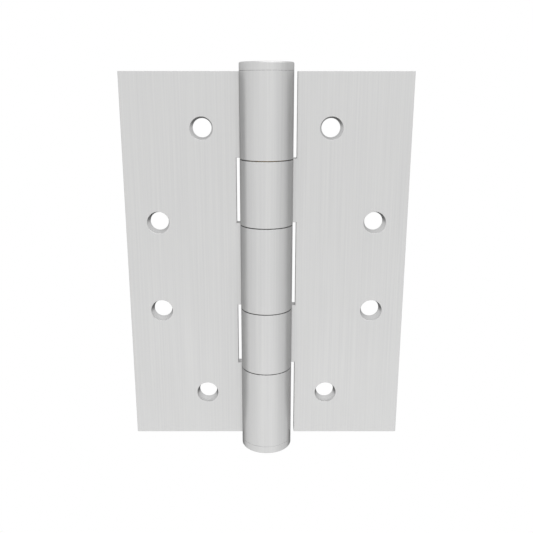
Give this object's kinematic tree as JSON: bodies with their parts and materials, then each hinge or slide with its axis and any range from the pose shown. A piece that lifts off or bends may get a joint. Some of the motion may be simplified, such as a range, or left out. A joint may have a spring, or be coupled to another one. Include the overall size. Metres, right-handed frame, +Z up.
{
  "type": "ball bearing butt hinge",
  "caption": "Satin steel butt hinge with interlocking rolled knuckles on a fixed pin, ball bearings hidden in the barrel, flat tips and countersunk screw holes in zigzag rows.",
  "frame": {"origin": "on the pin's axis, at the middle of the barrel", "axes": "+Z up along the pin, +X towards the door leaf of the open hinge, +Y towards the backs of the leaves"},
  "size_m": [0.076, 0.014, 0.1062],
  "materials": {
    "satin_steel": "satin brushed along the leaf",
    "tip_steel": "satin, turned",
    "pin_steel": "ground",
    "race_steel": "hardened and ground",
    "ball_steel": "polished",
    "cage_brass": "pressed"
  },
  "bodies": {
    "frame_leaf": {"three_knuckle_leaf": "satin_steel", "hinge_pin": "pin_steel", "top_tip": "tip_steel", "bottom_tip": "tip_steel", "upper_bearing_top_race": "race_steel", "lower_bearing_bottom_race": "race_steel"},
    "door_leaf": {"two_knuckle_leaf": "satin_steel", "upper_bearing_bottom_race": "race_steel", "lower_bearing_top_race": "race_steel"},
    "upper_ball_ring": {"upper_bearing_cage": "cage_brass", "upper_bearing_balls": "ball_steel"},
    "lower_ball_ring": {"lower_bearing_cage": "cage_brass", "lower_bearing_balls": "ball_steel"}
  },
  "joints": [
    {"name": "leaf_swing", "type": "hinge", "parent": "frame_leaf", "child": "door_leaf", "pos_m": [0, 0, 0], "axis": [0, 0, -1], "range_deg": [-115, 180]},
    {"name": "upper_ball_ring_roll", "type": "hinge", "parent": "frame_leaf", "child": "upper_ball_ring", "pos_m": [0, 0, 0.029], "axis": [0, 0, -1], "range_deg": [-57.5, 90]},
    {"name": "lower_ball_ring_roll", "type": "hinge", "parent": "frame_leaf", "child": "lower_ball_ring", "pos_m": [0, 0, -0.029], "axis": [0, 0, -1], "range_deg": [-57.5, 90]}
  ],
  "couplings": [
    {"joint": "upper_ball_ring_roll", "follows": "leaf_swing", "ratio": 0.5},
    {"joint": "lower_ball_ring_roll", "follows": "leaf_swing", "ratio": 0.5}
  ]
}
